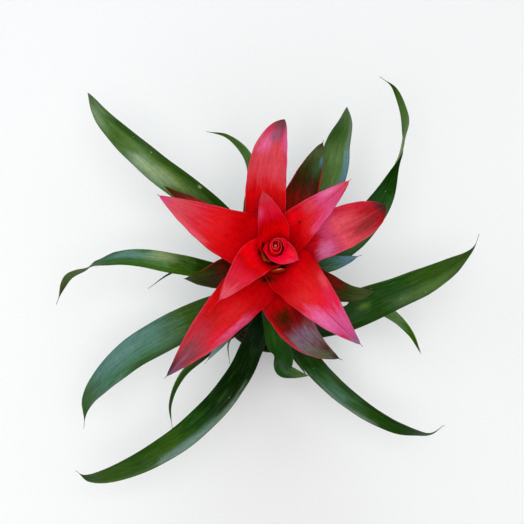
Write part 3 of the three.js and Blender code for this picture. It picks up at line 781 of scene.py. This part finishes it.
# Red bracts, lowest first. The bright red at most of their feet is painted light: raised above the bracts'
# own red to stand for light shining through them where they lie in shade.
BRACTS = [
    dict(
        name="bract_front", slot="bract_stained", width=46.5, tip="flame", thread=0.06,
        midrib=(SCORCH, 0.2), mottle=0.6,
        route=[(36, 277, 338), (75, 286.8, 352), (94, 293.9, 348), (113.6, 302.7, 334)],
        tones={0: BLOOD, 0.42: RED, 0.5: RED, 0.56: GARNET, 0.62: OXBLOOD, 0.66: STAIN, 0.7: STONE,
               0.76: STONE, 0.82: LICHEN, 0.92: LICHEN, 0.96: SCORCH, 1: SCORCH},
        margins=[(0.48, 0.7, -1, 0.3, RUBY, 0.9), (0.66, 0.95, -1, 0.08, CERISE, 0.8),
                 (0.6, 0.9, 1, 0.2, PLUM, 0.6)],
        patches=[(0.56, -0.25, 0.07, 0.55, UMBER, 0.9), (0.6, 0.45, 0.08, 0.45, OXBLOOD, 0.95),
                 (0.67, 0.65, 0.05, 0.35, STAIN, 0.85), (0.7, 0, 0.05, 0.6, MAUVE, 0.6),
                 (0.8, 0.35, 0.08, 0.5, PLUM, 0.7), (0.87, 0.5, 0.05, 0.5, SCORCH, 0.8)],
    ),
    dict(
        name="bract_right", width=46.5, tip="round", midrib=(BLUSH, 0.3), threads=(CLARET, 0.5), streak=0.4,
        route=[(30, 19, 348), (67, 18, 368), (89, 20.1, 370), (109.2, 23, 362)],
        tones={0: FLAME, 0.4: RED, 0.5: RUBY, 0.56: ROSE, 0.66: BLUSH, 0.76: CORAL, 0.86: GARNET,
               0.92: GARNET, 0.96: OXBLOOD, 1: SCORCH},
        margins=[(0.5, 0.7, 1, 0.6, CERISE, 0.8), (0.7, 0.93, 1, 0.6, BRICK, 0.8)],
        # The first patch is a painted highlight: a pale pink glint.
        patches=[(0.54, -0.7, 0.06, 0.5, PINK_HIGHLIGHT, 0.5), (0.83, -0.35, 0.12, 0.4, OXBLOOD, 0.8),
                 (0.97, 0.2, 0.05, 0.9, SCORCH, 0.8)],
    ),
    dict(
        name="bract_front_left", slot="bract_stained", width=49, tip="flame", thread=0.04, mottle=0.4,
        route=[(29, 237, 350), (77, 232.4, 366), (118, 230.1, 362), (151.5, 228.8, 348)],
        tones={0: FLAME, 0.4: RED, 0.6: RED, 0.7: BRICK, 0.82: CLARET, 0.9: STAIN, 0.95: PLUM, 1: SCORCH},
        margins=[(0.48, 0.66, 1, 0.35, CERISE, 0.85), (0.6, 0.92, -1, 0.2, BRICK, 0.85),
                 (0.66, 0.88, 1, 0.3, CORAL, 0.85)],
        # Of these patches, the orchid one at .59 is partly the bract's pink and partly painted highlight, and
        # the near-black one at .27 is painted shade: the dark hollow at the bracts' feet.
        patches=[(0.64, -0.3, 0.12, 0.6, BARK, 0.35), (0.74, -0.3, 0.08, 0.6, CLARET, 0.75),
                 (0.82, 0.05, 0.1, 0.8, STAIN, 0.95), (0.87, 0, 0.08, 0.16, HEATHER, 0.7),
                 (0.94, 0.4, 0.05, 0.6, MAUVE, 0.8), (0.93, -0.6, 0.06, 0.5, SCORCH, 0.8),
                 (0.59, 0.75, 0.1, 0.2, ORCHID, 0.55), (0.27, 0.25, 0.04, 0.4, INK, 0.9)],
    ),
    dict(
        name="bract_back", width=39, tip="round",
        route=[(33, 105, 358), (71.6, 95.6, 380), (101.6, 90.4, 380), (120.8, 86, 374)],
        bites=[(0.78, 1, 1, 0.08)],
        tones={0: BLOOD, 0.45: RED, 0.54: RED, 0.66: CORAL, 0.84: CORAL, 0.93: CLARET, 0.97: STAIN,
               1: SCORCH},
        margins=[(0.6, 0.8, -1, 0.16, CERISE, 0.85), (0.78, 0.97, -1, 0.5, PINK, 0.8)],
        patches=[(0.82, 0.5, 0.08, 0.5, ORCHID, 0.6), (0.9, 0.75, 0.06, 0.4, CERISE, 0.8),
                 (0.89, -0.1, 0.06, 0.45, MAUVE, 0.95), (0.96, 0.1, 0.05, 0.9, STAIN, 0.9)],
    ),
    dict(
        name="bract_left", width=60, tip="kite", thread=0.04,
        route=[(25, 167, 362), (47, 165.4, 382), (83, 159, 386), (117.2, 155.3, 378)],
        tones={0: FLAME, 0.45: RED, 0.62: RED, 0.72: BRICK, 0.8: CORAL, 0.9: BLUSH, 0.95: PINK,
               0.99: CERISE, 1: CLARET},
        margins=[(0.6, 0.86, 1, 0.5, BLUSH, 0.8)],
    ),
    dict(
        name="bract_front_right", slot="bract_pink", width=53, tip="spire", thread=0.05,
        midrib=(CRIMSON, 0.9),
        route=[(24, 302, 366), (56, 306, 382), (87, 308.8, 380), (117, 311.5, 368)],
        tones={0: FLAME, 0.45: RED, 0.58: RED, 0.66: CHERRY, 0.76: PINK, 0.87: PINK, 0.93: HEATHER,
               0.97: LILAC, 1: SCORCH},
        margins=[(0.4, 0.6, 1, 0.9, BLOOD, 0.8), (0.6, 0.72, 1, 0.9, CERISE, 0.6)],
        # Of these patches, the orchid one at .71 is partly the bract's pink and partly painted highlight, the
        # blush one at .55 is painted highlight, and the near-black one at .345 is painted shade: the dark
        # hollow at the bracts' feet.
        patches=[(0.71, -0.6, 0.1, 0.6, ORCHID, 0.8), (0.7, 0.75, 0.08, 0.4, CHERRY, 0.6),
                 (0.55, 0.8, 0.05, 0.25, BLUSH, 0.55), (0.88, -0.7, 0.05, 0.3, CERISE, 0.95),
                 (0.345, -0.85, 0.03, 0.3, INK, 0.9)],
    ),
    dict(
        name="bract_back_right", slot="bract_pink", width=42, thread=0.05, midrib=(CRIMSON, 0.8),
        route=[(22, 42, 376), (42, 40, 394), (63, 40.3, 398), (89.4, 41.2, 394)],
        tones={0: FLAME, 0.45: RED, 0.56: RED, 0.64: BRICK, 0.74: ROSE, 0.86: ROSE, 0.94: BLUSH,
               1: CRIMSON},
        margins=[(0.58, 0.74, -1, 0.7, PINK, 0.5)],
        patches=[(0.5, 0.5, 0.09, 0.3, FLAME, 0.5), (0.515, 0.15, 0.014, 0.07, BROWN, 1),
                 (0.66, 0.45, 0.06, 0.4, CORAL, 0.8), (0.83, 0.6, 0.09, 0.4, ORCHID, 0.85),
                 (0.9, -0.8, 0.04, 0.25, CLARET, 0.8)],
    ),
    dict(
        name="bract_inner_left", slot="bract_pink", width=44, wave=0.15, thread=0.07,
        route=[(16, 218, 371), (26, 220, 391), (44, 224.5, 404), (74, 227, 408)],
        bites=[(0.3, 0.6, 1, 0.16)],
        # The bright red tones up to .54 are painted light on the shaded foot.
        tones={0: FLAME, 0.45: FLAME, 0.54: SCARLET, 0.6: RED, 0.7: CHERRY, 0.8: BRICK, 0.9: BLUSH,
               0.96: BLUSH, 1: CERISE},
        margins=[(0.88, 1, -1, 0.4, CRIMSON, 0.7)],
        # The near-black patch is painted shade: a dark hole between the bracts.
        patches=[(0.31, -0.42, 0.035, 0.2, INK, 1)],
    ),
    dict(
        name="bract_inner_back", width=41, wave=0.1, release=0.3, thread=0.12,
        route=[(13.7, 101, 371), (18.7, 100, 386), (27, 102.5, 399), (48.5, 104.7, 411)],
        tones={0: FLAME, 0.45: SCARLET, 0.6: RED, 0.7: CHERRY, 0.84: BRICK, 0.92: CORAL, 1: BRICK},
        # The pink patch is painted highlight, and the near-black patch painted shade: a dark hole between the
        # bracts.
        patches=[(0.75, 0.8, 0.06, 0.4, PINK, 0.6), (0.295, 0.6, 0.045, 0.2, INK, 1)],
    ),
    dict(
        name="bract_inner_right", width=44, tip="hood", wave=0.1, thread=0.06, length=13,
        route=[(8.8, 305, 370), (9.1, 305, 384), (9.8, 306, 391), (12.6, 309, 397), (18.5, 316, 402),
               (26.6, 321.5, 405)],
        bites=[(0.4, 1, 1, 0.24)],
        tones={0: MAGENTA, 0.94: MAGENTA, 1: CERISE},
        patches=[(0.86, 0.85, 0.14, 0.35, BLOOD, 0.9), (0.9, -0.6, 0.06, 0.3, ROSE, 0.7),
                 (0.97, 0, 0.03, 0.6, ROSE, 0.7)],
    ),
]

# Small orange bracts that hold the flowers, in the gaps beside the rolled heart
FLORAL_BRACTS = [
    dict(
        name="floral_bract_left", width=16,
        route=[(10, 232, 360), (10.8, 232, 374), (12.2, 232, 381), (16, 232, 385)],
    ),
    dict(
        name="floral_bract_front", width=16,
        route=[(12, 277, 350), (18, 277, 361), (21.8, 277, 370), (21.6, 277, 379), (20.8, 277, 386)],
    ),
]


def sheath_route(radius, bearing, foot, lean, length):
    """A sheath climbs in a straight line, leaning out, before the blade turns away."""
    return [(radius + lean * length * t, bearing, foot + length * t) for t in np.linspace(0, 1, 4)]


def foliage_piece(leaf):
    radius = SHEATH_RADIUS + SHEATH_PITCH * (leaf["layer"] - 1)
    length = SHEATH_LENGTH - SHEATH_SHORTENING * (leaf["layer"] - 1)
    sheath = sheath_route(radius, leaf["route"][0][1], SHEATH_FOOT, SHEATH_LEAN, length)
    width = min(leaf["width"], 2 * radius * SHEATH_HALF_ANGLE)
    blade_piece(leaf | dict(sheath=sheath, sheath_width=width))


def clasping_piece(blade, order):
    foot = blade["lowest"] + blade["rise"] * order
    stem = np.interp(foot, [STEM_FOOT, STEM_TOP], [STEM_FOOT_RADIUS, STEM_TOP_RADIUS])
    radius = stem + CLASP_GAP
    sheath = sheath_route(radius, blade["route"][0][1], foot, blade["lean"], blade["length"])
    blade_piece(blade | dict(sheath=sheath, sheath_width=2 * radius * CLASP_HALF_ANGLE))


def heart_piece():
    """The young bract at the stem's tip, wound inward from its outer edge, with a thin waved rim."""
    shares = (np.linspace(0, 1, count + 1) for count in (HEART_ROWS, HEART_COLUMNS))
    rise, wound = np.meshgrid(*shares, indexing="ij")
    radius = lerp(HEART_FOOT_RADIUS, HEART_RIM_RADIUS, rise) - HEART_WINDING * wound
    radius = radius + HEART_SWELL * np.sin(math.pi * rise ** 2)
    rim = HEART_RIM - HEART_SLANT * (1 - wound) + HEART_WAVE * np.sin(HEART_WAVES * wound)
    height = lerp(HEART_FOOT, rim, rise)
    bearing = np.radians(360 * HEART_TURNS * wound)
    radius = radius * (1 - HEART_OVAL * rise * np.cos(2 * bearing))
    thick = BRACT_THICKNESS * (1 - 0.6 * smoothstep(rise, 0.75, 1))
    lean = (rise * (1 - wound))[..., None] * np.array(HEART_LEAN)
    inner, outer = (np.stack([r * np.cos(bearing), r * np.sin(bearing), height], axis=-1) + lean
                    for r in (radius - thick, radius))
    uv = np.stack([rise, wound], axis=-1).reshape(-1, 2)
    skin = blade_skin("bract_rolled_heart", BRACT_KIND | HEART_LOOK, HEART_LENGTH, HEART_SPREAD)
    return shell("bract_rolled_heart_sheet", inner, outer, uv, skin)


def turned_points(profile, sides, swell=lambda angle, height: 1.0):
    """Rings of points round the stem's axis, from a profile of radius and height, swollen by a rule."""
    angles = np.arange(sides) / sides * 2 * math.pi
    rings = []
    for radius, height in profile:
        reach = radius * swell(angles, height)
        ring = (reach * np.cos(angles), reach * np.sin(angles), np.full(sides, height))
        rings.append(np.stack(ring, axis=-1))
    return np.concatenate(rings)


def turned_faces(rings, sides):
    """Faces between rings that each have the same number of points, and one on either end."""
    faces = []
    for i in range(rings - 1):
        for j in range(sides):
            k = (j + 1) % sides
            faces.append([i * sides + j, i * sides + k, (i + 1) * sides + k, (i + 1) * sides + j])
    faces.append(list(range(sides))[::-1])
    faces.append([(rings - 1) * sides + j for j in range(sides)])
    return faces


def bud_piece():
    """The folded tip of a flower: three petals wound round each other."""
    share = np.linspace(0, 1, BUD_RINGS)
    radius = np.interp(share, [0, 0.03, 0.5, 0.87, 0.97, 1], [0.5, 1.2, BUD_RADIUS, 1.5, 0.6, 0.15])
    profile = zip(radius, lerp(HEART_FOOT, BUD_TIP, share))
    petals = lambda angle, height: 1 + 0.09 * np.cos(3 * (angle + 0.05 * height))
    points = turned_points(profile, BUD_SIDES, petals)
    skin = Skin("bud")
    streak = skin.grain(skin.spot(), 900.0, 3.0, 0.6)
    colour = skin.ramp(streak, {0.3: RUST, 0.5: TAN, 0.7: CREAM})
    return mesh_object("flower_bud_petals", points, turned_faces(BUD_RINGS, BUD_SIDES),
                       skin.finish(colour, skin.line(streak, 0.3, 0.35), streak, 0.1))


def stem_piece():
    """The flower stem, ribbed lengthwise."""
    share = np.linspace(0, 1, STEM_RINGS)
    profile = zip(lerp(STEM_FOOT_RADIUS, STEM_TOP_RADIUS, share), lerp(STEM_FOOT, STEM_TOP, share))
    ribs = lambda angle, height: 1 - 0.02 * np.sin(9 * angle) ** 2
    points = turned_points(profile, STEM_SIDES, ribs)
    skin = Skin("stem")
    squeezed = skin.add("ShaderNodeMapping", {"Vector": skin.spot(), "Scale": (900.0, 900.0, 30.0)})
    fibre = skin.grain(squeezed.outputs[0], 1.0, 3.0, 0.6)
    colour = skin.ramp(fibre, {0.3: OLIVE, 0.5: MOSS, 0.7: LIME})
    return mesh_object("flower_stem_ribbed", points, turned_faces(STEM_RINGS, STEM_SIDES),
                       skin.finish(colour, skin.line(fibre, 0.2, 0.4), fibre, 0.15))


def arc(centre, radius, start, end, steps=6):
    """Points of radius and height on part of a circle, from one angle to another in degrees."""
    angles = np.radians(np.linspace(start, end, steps))
    return [(centre[0] + radius * math.cos(a), centre[1] + radius * math.sin(a)) for a in angles]


def pot_wall(height):
    return lerp(POT_FOOT, POT_RIM - POT_STEP, height / POT_HEIGHT)


def pot_bore(height):
    return pot_wall(height) - POT_WALL


def pot_profile():
    """The pot's section, from the middle of its underside out, up the wall, over the rim and down inside."""
    band = POT_HEIGHT - POT_BAND
    foot = [(0.5, 0)] + arc((POT_FOOT - 0.8, 0.8), 0.8, -90, 0)
    wall = [(pot_wall(z), z) for z in np.linspace(6, band - 2, 18)]
    under_band = [(pot_wall(band), band - 0.4), (pot_wall(band) + 0.4, band)]
    band_foot = arc((pot_wall(band) + POT_STEP - 0.4, band + 0.4), 0.4, -90, 0)
    band_wall = [(lerp(pot_wall(band) + POT_STEP, POT_RIM, t), lerp(band + 1, POT_HEIGHT - 1.4, t))
                 for t in np.linspace(0, 1, 6)]
    lip = arc((POT_RIM - 1.2, POT_HEIGHT - 1.2), 1.2, 0, 90)
    bore = [(pot_bore(z), z) for z in np.linspace(POT_HEIGHT - 0.8, POT_FLOOR + 1, 20)]
    floor = arc((pot_bore(POT_FLOOR) - 1, POT_FLOOR + 1), 1, 0, -90)
    return foot + wall + under_band + band_foot + band_wall + lip + bore + floor + [(0.5, POT_FLOOR)]


def pot_skin():
    """Near-black moulded plastic with a faint red-brown tint, fine texture and dusty scuffs."""
    skin = Skin("pot_plastic")
    spot = skin.spot()
    dust = skin.grain(spot, 60.0, 4.0, 0.65)
    pores = skin.grain(spot, 1500.0)
    colour = skin.ramp(dust, {0.35: COAL, 0.6: SOOT, 0.8: DUST})
    return skin.finish(colour, skin.line(dust, 0.35, 0.28), pores, 0.05)


def pot_piece():
    profile = pot_profile()
    faces = turned_faces(len(profile), POT_SIDES)
    pot = mesh_object("pot_moulded", turned_points(profile, POT_SIDES), faces, pot_skin(), sharp=35)
    drills = [drill(360 * i / DRAIN_HOLES) for i in range(DRAIN_HOLES)]
    for tool in drills:
        cut = pot.modifiers.new("drain", "BOOLEAN")
        cut.object = tool
        cut.solver = "EXACT"
    done = bpy.data.meshes.new_from_object(pot.evaluated_get(bpy.context.evaluated_depsgraph_get()))
    pot.modifiers.clear()
    pot.data = done
    for tool in drills:
        bpy.data.objects.remove(tool)
    return pot


def drill(bearing):
    profile = [(DRAIN_RADIUS, -POT_FLOOR), (DRAIN_RADIUS, 2 * POT_FLOOR)]
    points = turned_points(profile, DRAIN_SIDES) + np.array(place(DRAIN_REACH, bearing, 0))
    return mesh_object(f"drill_{bearing:.0f}", points, turned_faces(2, DRAIN_SIDES), pot_skin())


def mix_skin():
    """Peat and bark: dark browns in lumps, with pale fibres."""
    skin = Skin("potting_mix")
    spot = skin.spot()
    lumps = skin.grain(spot, 140.0, 4.0, 0.6)
    crumbs = skin.grain(spot, 620.0, 3.0, 0.7)
    colour = skin.vary(skin.ramp(lumps, {0.3: PEAT, 0.5: LOAM, 0.7: CHIP}), crumbs, 0.6)
    return skin.finish(colour, skin.line(crumbs, 0.2, 0.75), crumbs, 0.8, 0.2)


def mix_height(x, y):
    """The uneven top of the mix, calm round the sheaths."""
    rough = smoothstep(math.hypot(x, y), 13, 26)
    wave = 1.5 * math.sin(0.31 * x + 1.3) * math.cos(0.27 * y - 0.6)
    lumps = 1.4 * noise.noise((x * 0.16, y * 0.16, 0.0)) + 0.7 * noise.noise((x * 0.5, y * 0.5, 3.0))
    return MIX_TOP + rough * (wave + lumps)


def mix_piece():
    """The mix from its foot on the pot's floor, up the wall, in over its top and down the stem's hole."""
    foot = POT_FLOOR + CLEARANCE
    points = list(turned_points([(pot_bore(foot) - CLEARANCE, foot)], MIX_SIDES))
    for reach in np.linspace(pot_bore(MIX_TOP) - CLEARANCE, MIX_HOLE, MIX_RINGS):
        for j in range(MIX_SIDES):
            x, y, _ = place(reach, 360 * j / MIX_SIDES, 0)
            points.append((x, y, mix_height(x, y)))
    points += list(turned_points([(MIX_HOLE, STEM_FOOT - CLEARANCE)], MIX_SIDES))
    faces = turned_faces(MIX_RINGS + 2, MIX_SIDES)
    return mesh_object("potting_mix_lumps", points, faces, mix_skin(), sharp=180)


def crumbs_piece():
    """Loose crumbs of bark and peat, pressed into the top of the mix."""
    draw = random.Random(MIX_SEED)
    points, faces = [], []
    for _ in range(MIX_CRUMBS):
        reach = math.sqrt(draw.uniform(*(edge**2 for edge in CRUMB_REACH)))
        x, y, _ = place(reach, draw.uniform(0, 360), 0)
        size = draw.uniform(*CRUMB_SIZE)
        tilt = draw.uniform(0, math.pi)
        stretch = draw.uniform(1, 1.9)
        faces += [[len(points) + k for k in face] for face in CRUMB_FACES]
        for u, v, w in CRUMB_POINTS:
            u, v, w = (c * size * draw.uniform(0.75, 1.2) for c in (u * stretch, v, w * 0.6))
            px = x + u * math.cos(tilt) - v * math.sin(tilt)
            py = y + u * math.sin(tilt) + v * math.cos(tilt)
            points.append((px, py, mix_height(x, y) + w + 0.1 * size))
    return mesh_object("potting_mix_bark", points, faces, mix_skin(), sharp=40)


# A crumb is an icosahedron with its corners pushed about
GOLDEN = (1 + math.sqrt(5)) / 2
CRUMB_POINTS = [np.roll((a, b, 0.0), turn) for turn in range(3) for b in (GOLDEN, -GOLDEN) for a in (-1, 1)]
CRUMB_FACES = [
    (0, 11, 5), (0, 5, 1), (0, 1, 7), (0, 7, 10), (0, 10, 11), (1, 5, 9), (5, 11, 4), (11, 10, 2), (10, 7, 6),
    (7, 1, 8), (3, 9, 4), (3, 4, 2), (3, 2, 6), (3, 6, 8), (3, 8, 9), (4, 9, 5), (2, 4, 11), (6, 2, 10),
    (8, 6, 7), (9, 8, 1),
]


def build_plant():
    settle(pot_piece(), "pot")
    settle(mix_piece(), "potting_mix")
    settle(crumbs_piece(), None)
    settle(stem_piece(), "flower_stem")
    for leaf in FOLIAGE:
        foliage_piece(LEAF_KIND | leaf)
    for order, leaf in enumerate(STEM_LEAVES):
        clasping_piece(STEM_LEAF_KIND | leaf, order)
    for order, bract in enumerate(BRACTS):
        clasping_piece(BRACT_KIND | bract, order)
    for bract in FLORAL_BRACTS:
        blade_piece(FLORAL_KIND | dict(sheath_width=bract["width"]) | bract)
    settle(heart_piece(), "bract_rolled_heart")
    settle(bud_piece(), "flower_bud")


def build_floor():
    skin = Skin("floor_paper")
    tooth = skin.grain(skin.spot(), 400.0)
    colour = skin.ramp(tooth, {0.3: PAPER, 0.7: CHALK})
    points = [(x * FLOOR_REACH, y * FLOOR_REACH, 0) for x, y in ((-1, -1), (1, -1), (1, 1), (-1, 1))]
    floor = mesh_object("floor", points, [(0, 1, 2, 3)], skin.finish(colour, 0.9, specular=0.1))


def soft_box(name, bearing, elevation, width, height, brightness, tint=(1, 1, 1), gloss=False):
    """An area light that faces the bloom. Brightness is the light that it gives a surface square to it."""
    lamp = bpy.data.lights.new(name, "AREA")
    lamp.shape = "RECTANGLE"
    lamp.size = width
    lamp.size_y = height
    lamp.energy = math.pi**2 * brightness * LAMP_DISTANCE**2
    lamp.color = tint
    light = scene_object(name, lamp)
    away, up = math.radians(bearing), math.radians(elevation)
    way = np.array((math.cos(up) * math.cos(away), math.cos(up) * math.sin(away), math.sin(up)))
    light.location = np.array(LAMP_AIM) + way * LAMP_DISTANCE
    light.rotation_euler = (math.pi / 2 - up, 0, away + math.pi / 2)
    light.visible_glossy = gloss


def build_light():
    world = bpy.data.worlds.new("studio")
    world.use_nodes = True
    sky = world.node_tree.nodes["Background"].inputs
    sky[0].default_value = (1, 1, 1, 1)
    sky[1].default_value = 0.1
    bpy.context.scene.world = world
    soft_box("window", 92, 45, 1.5, 0.8, 0.36, tint=(0.9, 0.96, 1.0), gloss=True)
    soft_box("window_left", 184, 26, 0.9, 0.7, 0.16, tint=(0.9, 0.95, 1.0), gloss=True)
    soft_box("overhead", 0, 88, 2.4, 2.4, 0.4)
    soft_box("key", 268, 80, 0.6, 0.6, 0.45)
    soft_box("front", 265, 50, 1.6, 1.2, 0.25)
    bpy.context.scene.view_settings.view_transform = "Standard"


def build_camera():
    lens = bpy.data.cameras.new("camera")
    lens.angle = math.radians(CAMERA_FIELD)
    camera = scene_object("camera", lens)
    camera.location = CAMERA_PLACE
    camera.rotation_euler = (math.radians(CAMERA_TILT), 0, 0)
    bpy.context.scene.camera = camera


build_camera()
build_light()
build_floor()
build_plant()
